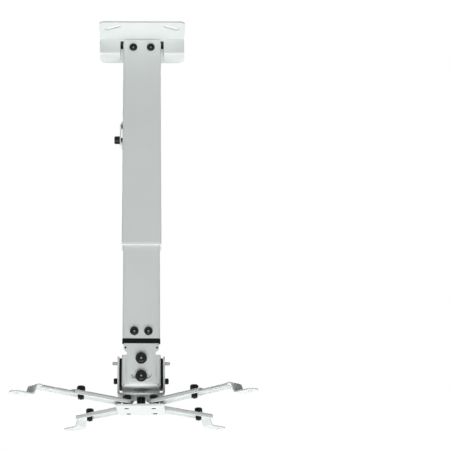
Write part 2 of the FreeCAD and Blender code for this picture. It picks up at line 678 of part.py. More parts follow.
# Yoke: two side plates with tilt slots, joined by a lipped floor that carries the swivel
yoke_half = YOKE_WIDTH / 2
yoke_front = HEAD_Y - YOKE_DEPTH / 2
yoke_back = HEAD_Y + YOKE_DEPTH / 2
yoke = box(-yoke_half, yoke_half, yoke_front, yoke_back, YOKE_BOTTOM, YOKE_TOP)
bend_edges = []
for edge in yoke.Edges:
    if edge.BoundBox.YLength > 1 and abs(edge.BoundBox.Center.z - YOKE_BOTTOM) < 1e-6:
        bend_edges.append(edge)
yoke = yoke.makeFillet(YOKE_BEND, bend_edges)
round_edges = []
for edge in yoke.Edges:
    if edge.BoundBox.XLength > 1 and abs(edge.BoundBox.Center.z - YOKE_TOP) < 1e-6:
        round_edges.append(edge)
yoke = yoke.makeFillet(YOKE_TOP_ROUND, round_edges)
floor_top = YOKE_BOTTOM + YOKE_SHEET
yoke = yoke.cut(box(-yoke_inner, yoke_inner, yoke_front - 1, yoke_back + 1, floor_top, YOKE_TOP + 1))
lip_half = yoke_inner - YOKE_SHEET
lip = box(-lip_half, lip_half, yoke_back - YOKE_SHEET, yoke_back, floor_top, floor_top + YOKE_LIP)
yoke = yoke.fuse(lip)
yoke = yoke.cut(cyl(AXLE_DIA / 2 + RUN_FIT, YOKE_WIDTH + 2, vec(-yoke_half - 1, HEAD_Y, AXLE_Z), X_AXIS))
yoke = yoke.cut(cyl(M8_SHANK / 2 + RUN_FIT, YOKE_SHEET + 2, vec(0, HEAD_Y, YOKE_BOTTOM - 1), Z_AXIS))
tilt_slot = arc_slot(
    vec(-yoke_half - 1, HEAD_Y, AXLE_Z),
    X_AXIS,
    vec(0, 0, -1),
    TILT_ARM,
    M4_SHANK + 2 * ROUND_GAP,
    TILT_SLOT_HALF,
    YOKE_WIDTH + 2,
)
yoke = yoke.cut(tilt_slot)
save("tilt_yoke", yoke)

# Swivel hub: plate, welded stud with its spacer, nut, and the arm rivets
hub_face = rounded_plate(HUB_SIDE / 2, HUB_SIDE / 2, HUB_CORNER, lambda u, v: vec(u, v, HUB_BOTTOM))
hub = hub_face.extrude(vec(0, 0, HUB_THICK))
for side_x in (1, -1):
    for side_y in (1, -1):
        hole_at = vec(side_x * RIVET_OFFSET, side_y * RIVET_OFFSET, HUB_BOTTOM - 1)
        hub = hub.cut(cyl(RIVET_DIA / 2, HUB_THICK + 2, hole_at, Z_AXIS))
hub.rotate(vec(0, 0, 0), Z_AXIS, HUB_TURN)
hub.translate(vec(0, HEAD_Y, 0))
save("hub_plate", hub)

nut_seat = YOKE_BOTTOM + YOKE_SHEET + ROUND_GAP
stud = cyl(SWIVEL_SPACER / 2, HUB_DROP - ROUND_GAP, vec(0, HEAD_Y, HUB_TOP), Z_AXIS)
stud_tall = nut_seat + SWIVEL_NUT_TALL + STUD_BEYOND - HUB_TOP
stud = stud.fuse(cyl(M8_SHANK / 2, stud_tall, vec(0, HEAD_Y, HUB_TOP), Z_AXIS))
save("swivel_stud", stud)
swivel_nut = hexagon(M8_NUT, SWIVEL_NUT_TALL, vec(0, HEAD_Y, nut_seat), Z_AXIS)
stud_hole = cyl(M8_SHANK / 2, SWIVEL_NUT_TALL + 2, vec(0, HEAD_Y, nut_seat - 1), Z_AXIS)
save("swivel_nut", swivel_nut.cut(stud_hole))


def arm_channel(width, low, top, start, stop, flange_start):
    """Shallow channel along X, open downward, its flanges starting at flange_start."""
    solid = box(start, stop, -width / 2, width / 2, low, top)
    bends = []
    for line in solid.Edges:
        if line.BoundBox.XLength > 1 and abs(line.BoundBox.Center.z - top) < 1e-6:
            bends.append(line)
    solid = solid.makeFillet(ARM_BEND, bends)
    inner_half = width / 2 - ARM_SHEET
    solid = solid.cut(box(start - 1, stop + 1, -inner_half, inner_half, low - 1, top - ARM_SHEET))
    if flange_start > start:
        solid = solid.cut(box(start - 1, flange_start, -width, width, low - 1, top - ARM_SHEET))
    return solid


def foot_strip(riser):
    """Side view of the end of the foot arm: web, leaning riser and toe, with round bends."""
    toe_top = FOOT_LOW + ARM_SHEET
    slope = FOOT_LEAN / (FOOT_TOP - toe_top)
    across = ARM_SHEET * math.sqrt(1 + slope * slope)
    start = riser - FOOT_FLANGE_STOP
    end = riser + FOOT_HOLE_OUT
    low_bend = riser + slope * (FOOT_TOP - FOOT_LOW) - across
    web_bend = riser + slope * ARM_SHEET - across
    half = FOOT_WIDTH / 2
    corners = [
        (start, FOOT_TOP),
        (riser, FOOT_TOP),
        (riser + FOOT_LEAN, toe_top),
        (end, toe_top),
        (end, FOOT_LOW),
        (low_bend, FOOT_LOW),
        (web_bend, FOOT_WEB_LOW),
        (start, FOOT_WEB_LOW),
    ]
    strip = polygon([(x, -half, z) for x, z in corners], (0, 2 * half, 0))
    outer_bends = [(riser, FOOT_TOP), (low_bend, FOOT_LOW)]
    inner_bends = [(web_bend, FOOT_WEB_LOW), (riser + FOOT_LEAN, toe_top)]
    for radius, bends in ((FOOT_BEND + ARM_SHEET, outer_bends), (FOOT_BEND, inner_bends)):
        for x, z in bends:
            found = [line for line in strip.Edges if line.BoundBox.Center.sub(vec(x, 0, z)).Length < 1e-4]
            strip = strip.makeFillet(radius, found)
    return strip


def place_arm(shape, spot):
    """Turn an arm drawn along X about its rivet and move it to its hub corner."""
    corner, swing, reach = SPOTS[spot]
    shape.rotate(vec(0, 0, 0), Z_AXIS, corner + HUB_TURN + swing)
    turn = math.radians(corner + HUB_TURN)
    shape.translate(vec(RIVET_RADIUS * math.cos(turn), HEAD_Y + RIVET_RADIUS * math.sin(turn), 0))
    return shape


arm_half = ARM_WIDTH / 2
foot_half = FOOT_WIDTH / 2
for spot, (corner, swing, reach) in SPOTS.items():
    # Shouldered pivot screw that the arm swings on, riveted over under the hub
    rivet_top = ARM_TOP + RIVET_PLAY
    shoulder_tall = ARM_WEB_LOW - RIVET_PLAY - HUB_TOP
    rivet = cyl(RIVET_DIA / 2, rivet_top - HUB_BOTTOM, vec(0, 0, HUB_BOTTOM), Z_AXIS)
    rivet = rivet.fuse(cyl(RIVET_SHOULDER / 2, shoulder_tall, vec(0, 0, HUB_TOP), Z_AXIS))
    rivet = rivet.fuse(dome(RIVET_HEAD, RIVET_HEAD_TALL, vec(0, 0, HUB_BOTTOM), vec(0, 0, -1)))
    washer_top = rivet_top + ARM_WASHER_THICK
    rivet = rivet.fuse(cyl(ARM_WASHER / 2, ARM_WASHER_THICK, vec(0, 0, rivet_top), Z_AXIS))
    stem = washer_top - HUB_TOP
    rivet = rivet.fuse(
        cap_screw(RIVET_TOP_HEAD, RIVET_TOP_TALL, RIVET_DIA, stem, ARM_SOCKET, vec(0, 0, washer_top), Z_AXIS)
    )
    save("arm_rivet_" + spot, place_arm(rivet, spot))

    # Swinging arm with a round inner end
    arm = arm_channel(ARM_WIDTH, ARM_LOW, ARM_TOP, 0, ARM_REACH + ARM_END, ARM_FLANGE_START)
    arm = arm.fuse(cyl(arm_half - ARM_END_INSET, ARM_SHEET, vec(0, 0, ARM_WEB_LOW), Z_AXIS))
    arm = arm.cut(cyl(RIVET_DIA / 2 + RUN_FIT, ARM_SHEET + 2, vec(0, 0, ARM_WEB_LOW - 1), Z_AXIS))
    arm = arm.cut(cyl(ARM_SHANK / 2, ARM_SHEET + 2, vec(ARM_REACH, 0, ARM_WEB_LOW - 1), Z_AXIS))
    save("swing_arm_" + spot, place_arm(arm, spot))

    # Screw, washer and nut that clamp the sliding foot arm
    washer_top = ARM_TOP + ARM_WASHER_THICK
    nut_low = FOOT_WEB_LOW - SLIDE_GAP - ARM_NUT_TALL
    length = washer_top - nut_low + ARM_SCREW_END
    head_base = vec(ARM_REACH, 0, washer_top)
    screw = cap_screw(ARM_HEAD, ARM_HEAD_TALL, ARM_SHANK, length, ARM_SOCKET, head_base, Z_AXIS)
    screw = screw.fuse(cyl(ARM_WASHER / 2, ARM_WASHER_THICK, vec(ARM_REACH, 0, ARM_TOP), Z_AXIS))
    save("arm_screw_" + spot, place_arm(screw, spot))
    nut = hexagon(ARM_NUT, ARM_NUT_TALL, vec(ARM_REACH, 0, nut_low), Z_AXIS)
    nut = nut.cut(cyl(ARM_SHANK / 2, ARM_NUT_TALL + 2, vec(ARM_REACH, 0, nut_low - 1), Z_AXIS))
    save("arm_nut_" + spot, place_arm(nut, spot))

    # Foot arm: slotted channel, riser and a round toe with the screw hole
    riser = ARM_REACH + reach
    start = riser - FOOT_LENGTH
    foot = arm_channel(FOOT_WIDTH, ARM_LOW, FOOT_TOP, start, riser - FOOT_FLANGE_STOP, start)
    foot = foot.fuse(foot_strip(riser))
    slot_width = ARM_SHANK + 2 * ROUND_GAP
    slot_middle = riser - (FOOT_NEAR + FOOT_FAR) / 2
    slot_length = FOOT_FAR - FOOT_NEAR + slot_width
    foot = foot.cut(slot_bar(slot_length, slot_width, ARM_SHEET + 2, vec(slot_middle, 0, FOOT_WEB_LOW - 1)))
    toe_middle = riser + FOOT_HOLE_OUT
    toe = rounded_plate(
        FOOT_TOE - FOOT_HOLE_OUT,
        foot_half,
        foot_half - TOE_CORNER_INSET,
        lambda u, v: vec(toe_middle + u, v, FOOT_LOW),
    ).extrude(vec(0, 0, ARM_SHEET))
    strip_end = box(toe_middle, toe_middle + FOOT_TOE, -ARM_WIDTH, ARM_WIDTH, FOOT_LOW - 1, FOOT_TOP)
    foot = foot.fuse(toe.common(strip_end))
    foot = foot.cut(cyl(FOOT_HOLE / 2, ARM_SHEET + 2, vec(toe_middle, 0, FOOT_LOW - 1), Z_AXIS))
    save("foot_arm_" + spot, place_arm(foot, spot))
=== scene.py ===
import json
import math

import bmesh
import bpy
from mathutils import Matrix, Vector


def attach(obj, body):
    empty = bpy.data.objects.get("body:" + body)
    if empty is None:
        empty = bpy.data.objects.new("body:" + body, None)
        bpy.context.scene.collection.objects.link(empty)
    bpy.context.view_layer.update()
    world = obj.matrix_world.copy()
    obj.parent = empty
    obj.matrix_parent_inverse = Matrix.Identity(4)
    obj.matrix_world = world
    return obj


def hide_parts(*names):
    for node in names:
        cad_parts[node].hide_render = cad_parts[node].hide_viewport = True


# Ceiling hung projector mount: powder coated sheet steel and tubes, black
# screws, a black end cap and a pale nylon collar. Metres, +Z up, the front of
# the mount facing -Y. Sizes of small forms are in millimetres, times MM.

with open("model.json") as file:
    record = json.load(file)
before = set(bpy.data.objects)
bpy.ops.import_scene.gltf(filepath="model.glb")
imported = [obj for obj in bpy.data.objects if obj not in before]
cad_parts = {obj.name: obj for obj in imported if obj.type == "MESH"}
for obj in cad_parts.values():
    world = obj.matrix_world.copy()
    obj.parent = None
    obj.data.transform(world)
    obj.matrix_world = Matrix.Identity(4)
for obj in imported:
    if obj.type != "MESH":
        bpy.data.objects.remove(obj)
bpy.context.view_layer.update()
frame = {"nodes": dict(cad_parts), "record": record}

MM = 0.001
SPOTS = ("front_left", "front_right", "rear_left", "rear_right")
UP = Vector((0, 0, 1))
FRONT = Vector((0, -1, 0))
REAR = Vector((0, 1, 0))
LEFT = Vector((-1, 0, 0))
RIGHT = Vector((1, 0, 0))

record = frame["record"]
body_of_node = {
    node: body for body, nodes in record["behaviour"]["bodies"].items() for node in nodes
}
slot_of_node = {part["node"]: part["material_slot"] for part in record["subparts"]}


# Node helpers

NOISE_LOW, NOISE_HIGH = 0.3, 0.7


def add_node(tree, kind, **settings):
    made = tree.nodes.new(kind)
    for name, value in settings.items():
        setattr(made, name, value)
    return made


def object_place(tree):
    return add_node(tree, "ShaderNodeTexCoord").outputs["Object"]


def noise(tree, where, scale, detail, rough):
    made = add_node(tree, "ShaderNodeTexNoise")
    made.inputs["Scale"].default_value = scale
    made.inputs["Detail"].default_value = detail
    made.inputs["Roughness"].default_value = rough
    tree.links.new(where, made.inputs["Vector"])
    return made.outputs["Fac"]


def remap(tree, value, low, high, to_low, to_high):
    made = add_node(tree, "ShaderNodeMapRange")
    ends = {"From Min": low, "From Max": high, "To Min": to_low, "To Max": to_high}
    for name, number in ends.items():
        made.inputs[name].default_value = number
    tree.links.new(value, made.inputs["Value"])
    return made.outputs["Result"]


def blend_colour(tree, mask, first, second):
    """Mix of two colours by a mask; the first may also be another node's output."""
    made = add_node(tree, "ShaderNodeMix", data_type="RGBA")
    if isinstance(first, bpy.types.NodeSocket):
        tree.links.new(first, made.inputs["A"])
    else:
        made.inputs["A"].default_value = (*first, 1)
    made.inputs["B"].default_value = (*second, 1)
    factors = [item for item in made.inputs if item.name == "Factor" and item.type == "VALUE"]
    tree.links.new(mask, factors[0])
    return [item for item in made.outputs if item.type == "RGBA"][0]


def largest(tree, values):
    """Largest of several values, by a chain of maximum nodes."""
    top = values[0]
    for value in values[1:]:
        larger = add_node(tree, "ShaderNodeMath", operation="MAXIMUM")
        tree.links.new(top, larger.inputs[0])
        tree.links.new(value, larger.inputs[1])
        top = larger.outputs["Value"]
    return top


def relief(tree, shader, height, strength, depth):
    bump = add_node(tree, "ShaderNodeBump")
    bump.inputs["Strength"].default_value = strength
    bump.inputs["Distance"].default_value = depth
    tree.links.new(height, bump.inputs["Height"])
    tree.links.new(bump.outputs["Normal"], shader.inputs["Normal"])


# Finishes

MOTTLE_SCALE = 14.0
GLOSS_SPREAD = 0.04
COAT_RELIEF = 0.25
TURNING_SCALE = 2600.0
TURNING_STRETCH = 0.08
CLOUD_SCALE = 180.0
TURNING_RELIEF = 0.2


def cast_group():
    """Cast of a coated or moulded surface: broad mottling, fine fleck and a peel height."""
    tree = bpy.data.node_groups.new("surface_cast", "ShaderNodeTree")
    for name, start in (("Peel Scale", 900.0), ("Fleck Scale", 3500.0)):
        socket = tree.interface.new_socket(
            name=name, in_out="INPUT", socket_type="NodeSocketFloat",
        )
        socket.default_value = start
    for name in ("Mottle", "Fleck", "Peel"):
        tree.interface.new_socket(name=name, in_out="OUTPUT", socket_type="NodeSocketFloat")
    entry = add_node(tree, "NodeGroupInput")
    leave = add_node(tree, "NodeGroupOutput")
    where = object_place(tree)
    mottle = noise(tree, where, MOTTLE_SCALE, 3.0, 0.55)
    tree.links.new(
        remap(tree, mottle, NOISE_LOW, NOISE_HIGH, 0.0, 1.0), leave.inputs["Mottle"],
    )
    for name, detail in (("Peel", 2.0), ("Fleck", 1.0)):
        grain = add_node(tree, "ShaderNodeTexNoise")
        grain.inputs["Detail"].default_value = detail
        tree.links.new(where, grain.inputs["Vector"])
        tree.links.new(entry.outputs[name + " Scale"], grain.inputs["Scale"])
        tree.links.new(grain.outputs["Fac"], leave.inputs[name])
    return tree


surface_cast = cast_group()


def new_material(name, metallic, specular):
    made = bpy.data.materials.new(name)
    made.use_nodes = True
    shader = made.node_tree.nodes["Principled BSDF"]
    shader.inputs["Metallic"].default_value = metallic
    shader.inputs["Specular IOR Level"].default_value = specular
    return made, made.node_tree, shader


def cast_material(
    name, tone, shade, rough, specular, peel_scale, fleck_scale, peel_depth, fleck_share,
):
    """Coated or moulded finish whose colour, gloss and relief vary through surface_cast."""
    made, tree, shader = new_material(name, 0.0, specular)
    cast = add_node(tree, "ShaderNodeGroup", node_tree=surface_cast)
    cast.inputs["Peel Scale"].default_value = peel_scale
    cast.inputs["Fleck Scale"].default_value = fleck_scale
    mixed = add_node(tree, "ShaderNodeMath", operation="MULTIPLY_ADD")
    mixed.inputs[1].default_value = fleck_share
    tree.links.new(cast.outputs["Fleck"], mixed.inputs[0])
    tree.links.new(
        remap(tree, cast.outputs["Mottle"], 0, 1, 0, 1 - fleck_share), mixed.inputs[2],
    )
    tree.links.new(
        blend_colour(tree, mixed.outputs["Value"], tone, shade), shader.inputs["Base Color"],
    )
    gloss = remap(
        tree, cast.outputs["Peel"], NOISE_LOW, NOISE_HIGH,
        rough - GLOSS_SPREAD, rough + GLOSS_SPREAD,
    )
    tree.links.new(gloss, shader.inputs["Roughness"])
    relief(tree, shader, cast.outputs["Peel"], COAT_RELIEF, peel_depth * MM)
    return made


def painted_shade_inside(made, low, high, shade_tone):
    """Painted shade: faces in the box from low to high take a near-black colour in place of the
    coat, standing in for the shade inside the ceiling channel.
    """
    tree = made.node_tree
    shader = tree.nodes["Principled BSDF"]
    coat = shader.inputs["Base Color"].links[0].from_socket
    place = add_node(tree, "ShaderNodeVectorMath", operation="SUBTRACT")
    place.inputs[1].default_value = (low + high) / 2
    tree.links.new(object_place(tree), place.inputs[0])
    share = add_node(tree, "ShaderNodeVectorMath", operation="DIVIDE")
    share.inputs[1].default_value = (high - low) / 2
    tree.links.new(place.outputs["Vector"], share.inputs[0])
    away = add_node(tree, "ShaderNodeVectorMath", operation="ABSOLUTE")
    tree.links.new(share.outputs["Vector"], away.inputs[0])
    axes = add_node(tree, "ShaderNodeSeparateXYZ")
    tree.links.new(away.outputs["Vector"], axes.inputs["Vector"])
    inside = add_node(tree, "ShaderNodeMath", operation="LESS_THAN")
    inside.inputs[1].default_value = 1.0
    tree.links.new(largest(tree, [axes.outputs[axis] for axis in "XYZ"]), inside.inputs[0])
    # Painted shade: the near-black tone replaces the coat colour inside the box
    coat_with_painted_shade = blend_colour(tree, inside.outputs["Value"], coat, shade_tone)
    tree.links.new(coat_with_painted_shade, shader.inputs["Base Color"])
    return made


def zinc_material():
    """Plated steel with fine turning marks and a cloudy passivated tint."""
    made, tree, shader = new_material("zinc_plate", 1.0, 0.5)
    where = object_place(tree)
    stretched = add_node(tree, "ShaderNodeMapping")
    stretched.inputs["Scale"].default_value = (1.0, TURNING_STRETCH, 1.0)
    tree.links.new(where, stretched.inputs["Vector"])
    lines = noise(tree, stretched.outputs["Vector"], TURNING_SCALE, 2.0, 0.6)
    cloud = noise(tree, where, CLOUD_SCALE, 3.0, 0.5)
    tint = blend_colour(tree, cloud, (0.34, 0.35, 0.36), (0.24, 0.25, 0.26))
    tree.links.new(tint, shader.inputs["Base Color"])
    gloss = remap(tree, lines, NOISE_LOW, NOISE_HIGH, 0.24, 0.42)
    tree.links.new(gloss, shader.inputs["Roughness"])
    relief(tree, shader, lines, TURNING_RELIEF, 0.02 * MM)
    return made


def silver_coat(name):
    return cast_material(
        name, tone=(0.70, 0.735, 0.72), shade=(0.66, 0.70, 0.685), rough=0.40, specular=0.4,
        peel_scale=1100.0, fleck_scale=4200.0, peel_depth=0.03, fleck_share=0.4,
    )


materials = {
    "silver_paint": silver_coat("silver_powder_coat"),
    "black_steel": cast_material(
        "black_oxide_steel", tone=(0.004, 0.0045, 0.0045), shade=(0.009, 0.0095, 0.010),
        rough=0.24, specular=0.20,
        peel_scale=1500.0, fleck_scale=5000.0, peel_depth=0.02, fleck_share=0.5,
    ),
    "white_nylon": cast_material(
        "white_nylon", tone=(0.86, 0.87, 0.86), shade=(0.80, 0.81, 0.80),
        rough=0.48, specular=0.45,
        peel_scale=700.0, fleck_scale=3000.0, peel_depth=0.02, fleck_share=0.3,
    ),
    "black_plastic": cast_material(
        "black_moulded_plastic", tone=(0.004, 0.0045, 0.0045), shade=(0.008, 0.009, 0.009),
        rough=0.50, specular=0.08,
        peel_scale=1600.0, fleck_scale=3000.0, peel_depth=0.05, fleck_share=0.4,
    ),
    "bare_steel": zinc_material(),
}


# Mesh helpers

NODE_MERGE = 0.0005 * MM
FLAT_ANGLE = 0.5
EDGE_BREAK = 0.25 * MM
EDGE_BREAK_ANGLE = 40
SHEET_SMOOTH_ANGLE = 32
TURNED_SMOOTH_ANGLE = 38


def make_piece(name, bm, body, slot, nodes=(), finish=None):
    """Object from a bmesh that rides a body and stands for the CAD nodes named."""
    mesh = bpy.data.meshes.new(name)
    bm.to_mesh(mesh)
    bm.free()
    piece = bpy.data.objects.new(name, mesh)
    bpy.context.scene.collection.objects.link(piece)
    mesh.materials.append(finish or materials[slot])
    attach(piece, body)
    if nodes:
        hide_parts(*nodes)
    return piece


def of_type(items, kind):
    return [item for item in items if isinstance(item, kind)]


def corner_angle(edge):
    """Angle in degrees between the two faces of an edge."""
    return math.degrees(edge.calc_face_angle(0.0))


def shade_by_angle(bm, limit):
    """Smooth faces, with edges sharper than the limit kept crisp."""
    for face in bm.faces:
        face.smooth = True
    for edge in bm.edges:
        edge.smooth = len(edge.link_faces) == 2 and corner_angle(edge) < limit


def node_copy(node):
    """Merged copy of a CAD node with whole flat faces."""
    bm = bmesh.new()
    bm.from_mesh(frame["nodes"][node].data)
    bmesh.ops.remove_doubles(bm, verts=bm.verts, dist=NODE_MERGE)
    bmesh.ops.dissolve_limit(
        bm, angle_limit=math.radians(FLAT_ANGLE), verts=bm.verts, edges=bm.edges,
    )
    return bm


def dress(node, finish=None):
    """Copy of a CAD node with its sharp edges broken, as coated sheet has."""
    bm = node_copy(node)
    sharp = [
        edge for edge in bm.edges
        if len(edge.link_faces) == 2 and corner_angle(edge) > EDGE_BREAK_ANGLE
    ]
    bmesh.ops.bevel(
        bm, geom=sharp, offset=EDGE_BREAK, offset_type="OFFSET", affect="EDGES", segments=2,
        profile=0.5, material=-1, clamp_overlap=True, loop_slide=True,
    )
    shade_by_angle(bm, SHEET_SMOOTH_ANGLE)
    piece = make_piece(
        node + "_dressed", bm, body_of_node[node], slot_of_node[node], [node], finish,
    )
    weighted = piece.modifiers.new("weighted_normals", "WEIGHTED_NORMAL")
    weighted.keep_sharp = True


def join(bm, part):
    """Move a drawn part into another bmesh."""
    mesh = bpy.data.meshes.new("joined")
    part.to_mesh(mesh)
    part.free()
    bm.from_mesh(mesh)
    bpy.data.meshes.remove(mesh)


def reach(node, axis):
    """Lowest and highest place of a node along an axis, in metres."""
    mesh_object = frame["nodes"][node]
    along = [(mesh_object.matrix_world @ vert.co).dot(axis) for vert in mesh_object.data.vertices]
    return min(along), max(along)


def box_middle(node):
    """Middle of a node's box."""
    return Vector([sum(reach(node, axis)) / 2 for axis in (RIGHT, REAR, UP)])


# Fasteners, drawn along +Z in millimetres with the seat of the head at the origin

TURN_STEPS = 48
SHANK_STEPS = 32
SMALL_STEPS = 24
PIN_STEPS = 20
TURN_MERGE = 0.001 * MM
RING_MATCH = 0.01

SOCKET_DEPTH = 2.0
SOCKET_LEAD = 0.25
SOCKET_MOUTH = 0.62
SOCKET_MARK_RADIUS = 1.25
SOCKET_MARK_TALL = 0.25
HEAD_CORNER = 0.15
DOME_RIM = 0.2
DOME_STEPS = 9
KNURL_LOW = 0.7
KNURL_BELOW_TOP = 1.3
KNURL_LAND = 0.1
KNURL_DEPTH = 0.16
SHANK_SUNK = 0.3
PLAIN_SHARE = 0.35
THREAD_DEPTH = 0.58
THREAD_SUNK = 0.15
THREAD_RUNOUT = 0.4
THREAD_END_ROOM = 1.2
TIP_BEVEL = 0.5
NUT_CORNER = 0.09
NUT_BEYOND = 2.0


def turned(bm, profile, steps=TURN_STEPS):
    """Spin a profile of (radius, height) points about Z."""
    points = [bm.verts.new((radius * MM, 0, height * MM)) for radius, height in profile]
    lines = [bm.edges.new(pair) for pair in zip(points, points[1:])]
    bmesh.ops.spin(
        bm, geom=points + lines, cent=(0, 0, 0), axis=UP, angle=math.tau, steps=steps,
        use_merge=True,
    )
    bmesh.ops.remove_doubles(bm, verts=bm.verts, dist=TURN_MERGE)


def ring_edges(bm, radius, height):
    """Edges of the ring that a spun profile left at this radius and height."""
    found = []
    for edge in bm.edges:
        ends = [(math.hypot(vert.co.x, vert.co.y) / MM, vert.co.z / MM) for vert in edge.verts]
        if all(
            abs(across - radius) < RING_MATCH and abs(up - height) < RING_MATCH
            for across, up in ends
        ):
            found.append(edge)
    return found


def outline(bm, segments, radius, height):
    """Edges of a bare regular outline about Z."""
    made = bmesh.ops.create_circle(
        bm, segments=segments, radius=radius * MM, cap_ends=False,
        matrix=Matrix.Translation((0, 0, height * MM)),
    )
    return list({edge for vert in made["verts"] for edge in vert.link_edges})


def hex_socket(bm, mouth, height, across):
    """Hexagon socket sunk from the open ring of radius mouth."""
    hexagon = outline(bm, 6, across / math.sqrt(3), height - SOCKET_LEAD)
    bmesh.ops.bridge_loops(bm, edges=ring_edges(bm, mouth, height) + hexagon)
    walls = bmesh.ops.extrude_edge_only(bm, edges=hexagon)["geom"]
    floor = of_type(walls, bmesh.types.BMVert)
    bmesh.ops.translate(bm, verts=floor, vec=(0, 0, -SOCKET_DEPTH * MM))
    rim = [
        edge for edge in of_type(walls, bmesh.types.BMEdge)
        if all(vert in floor for vert in edge.verts)
    ]
    bmesh.ops.contextual_create(bm, geom=rim)


def button_head(bm, head, tall, socket):
    """Low domed head with a hexagon socket."""
    radius = head / 2
    mouth = socket * SOCKET_MOUTH
    profile = [
        (0, 0), (radius - HEAD_CORNER, 0), (radius, HEAD_CORNER), (radius, DOME_RIM * tall),
    ]
    for step in range(1, DOME_STEPS):
        angle = math.radians(90 * step / DOME_STEPS)
        across = mouth + (radius - mouth) * math.cos(angle)
        profile.append((across, tall * (DOME_RIM + (1 - DOME_RIM) * math.sin(angle))))
    profile.append((mouth, tall))
    turned(bm, profile)
    hex_socket(bm, mouth, tall, socket)


def cap_head(bm, head, tall, socket):
    """Cylinder head with a knurled side and a hexagon socket."""
    radius = head / 2
    mouth = socket * SOCKET_MOUTH
    knurl_top = tall - KNURL_BELOW_TOP
    turned(bm, [
        (0, 0), (radius - 0.4, 0), (radius, 0.4), (radius, KNURL_LOW), (radius, knurl_top),
        (radius, tall - 0.9), (radius - 0.25, tall - 0.4), (radius - 0.6, tall), (mouth, tall),
    ])
    side = []
    for face in bm.faces:
        middle = face.calc_center_median() / MM
        if KNURL_LOW < middle.z < knurl_top and math.hypot(middle.x, middle.y) > 0.9 * radius:
            side.append(face)
    bmesh.ops.inset_individual(bm, faces=side, thickness=KNURL_LAND * MM, depth=-KNURL_DEPTH * MM)
    hex_socket(bm, mouth, tall, socket)


def threaded_shank(bm, shank, plain, length, pitch):
    """Shank below the seat: plain at first, then a helical ridge down to a bevelled tip."""
    radius = shank / 2
    core = radius - THREAD_DEPTH * pitch
    turned(bm, [
        (0, SHANK_SUNK), (radius, SHANK_SUNK), (radius, -plain), (core, -plain - THREAD_RUNOUT),
        (core, TIP_BEVEL - length), (core - TIP_BEVEL, -length), (0, -length),
    ], SHANK_STEPS)
    start = -plain - THREAD_RUNOUT / 2
    root = core - THREAD_SUNK
    ridge = [
        bm.verts.new((across * MM, 0, (start - share * pitch) * MM))
        for across, share in ((root, 0.04), (radius, 0.42), (radius, 0.58), (root, 0.96))
    ]
    lines = [bm.edges.new(pair) for pair in zip(ridge, ridge[1:] + ridge[:1])]
    turns = max(1, math.floor((length - plain - THREAD_END_ROOM) / pitch))
    made = bmesh.ops.spin(
        bm, geom=ridge + lines, cent=(0, 0, 0), axis=UP, dvec=(0, 0, -pitch * MM / SMALL_STEPS),
        angle=math.tau * turns, steps=SMALL_STEPS * turns,
    )
    bmesh.ops.contextual_create(bm, geom=lines)
    bmesh.ops.contextual_create(bm, geom=of_type(made["geom_last"], bmesh.types.BMEdge))


def bore_nut(part, bore, tall):
    """Round hole through a nut that stands on the origin."""
    holes = []
    for height in (0, tall):
        end = Vector((0, 0, height * MM))
        face = min(part.faces, key=lambda item: (item.calc_center_median() - end).length)
        rim = list(face.edges)
        bmesh.ops.delete(part, geom=[face], context="FACES_ONLY")
        hole = outline(part, SMALL_STEPS, bore / 2, height)
        bmesh.ops.triangle_fill(part, use_beauty=True, edges=rim + hole, normal=UP)
        holes += hole
    bmesh.ops.bridge_loops(part, edges=holes)


def hex_nut(bm, across, tall, base, bore=None):
    """Hexagon nut standing on base, its corners bevelled; bored where it has no shank joined."""
    part = bmesh.new()
    bmesh.ops.create_circle(part, segments=6, radius=across / math.sqrt(3) * MM, cap_ends=True)
    grown = bmesh.ops.extrude_face_region(part, geom=part.faces[:])["geom"]
    lifted = of_type(grown, bmesh.types.BMVert)
    bmesh.ops.translate(part, verts=lifted, vec=(0, 0, tall * MM))
    bmesh.ops.recalc_face_normals(part, faces=part.faces)
    bmesh.ops.bevel(
        part, geom=part.verts[:], offset=NUT_CORNER * across * MM, offset_type="OFFSET",
        affect="VERTICES", segments=1, profile=0.5, material=-1,
    )
    if bore:
        bore_nut(part, bore, tall)
    bmesh.ops.translate(part, verts=part.verts, vec=(0, 0, base * MM))
    join(bm, part)


def washer(bm, across, bore, thick):
    """Flat ring under the seat of a head."""
    part = bmesh.new()
    outer, inner = across / 2, bore / 2
    turned(part, [
        (inner, -thick), (outer - HEAD_CORNER, -thick), (outer, HEAD_CORNER - thick),
        (outer, -HEAD_CORNER), (outer - HEAD_CORNER, 0), (inner, 0), (inner, -thick),
    ])
    join(bm, part)


def stand(bm, place, axis):
    """Turn a fastener drawn along Z to its axis and set its seat at a place."""
    bmesh.ops.recalc_face_normals(bm, faces=bm.faces)
    turn = UP.rotation_difference(axis).to_matrix().to_4x4()
    bmesh.ops.transform(bm, matrix=Matrix.Translation(place) @ turn, verts=bm.verts)
    shade_by_angle(bm, TURNED_SMOOTH_ANGLE)


def set_along(bm, node, axis, head_top, ending="_turned", slot=None):
    """Piece of a fastener's node, with its head where the node has it."""
    middle = box_middle(node)
    seat = middle + axis * (reach(node, axis)[1] - head_top * MM - middle.dot(axis))
    stand(bm, seat, axis)
    make_piece(node + ending, bm, body_of_node[node], slot or slot_of_node[node], [node])


def socket_mark(node, axis, tall):
    """Bright tool mark that the forming pin leaves at the bottom of a hexagon socket."""
    radius = SOCKET_MARK_RADIUS
    floor = tall - SOCKET_LEAD - SOCKET_DEPTH
    top = floor + SOCKET_MARK_TALL
    bm = bmesh.new()
    turned(bm, [
        (0, floor), (radius, floor), (radius, floor + 0.1), (radius - 0.4, top), (0, top),
    ], SMALL_STEPS)
    set_along(bm, node, axis, tall, "_socket", "bare_steel")


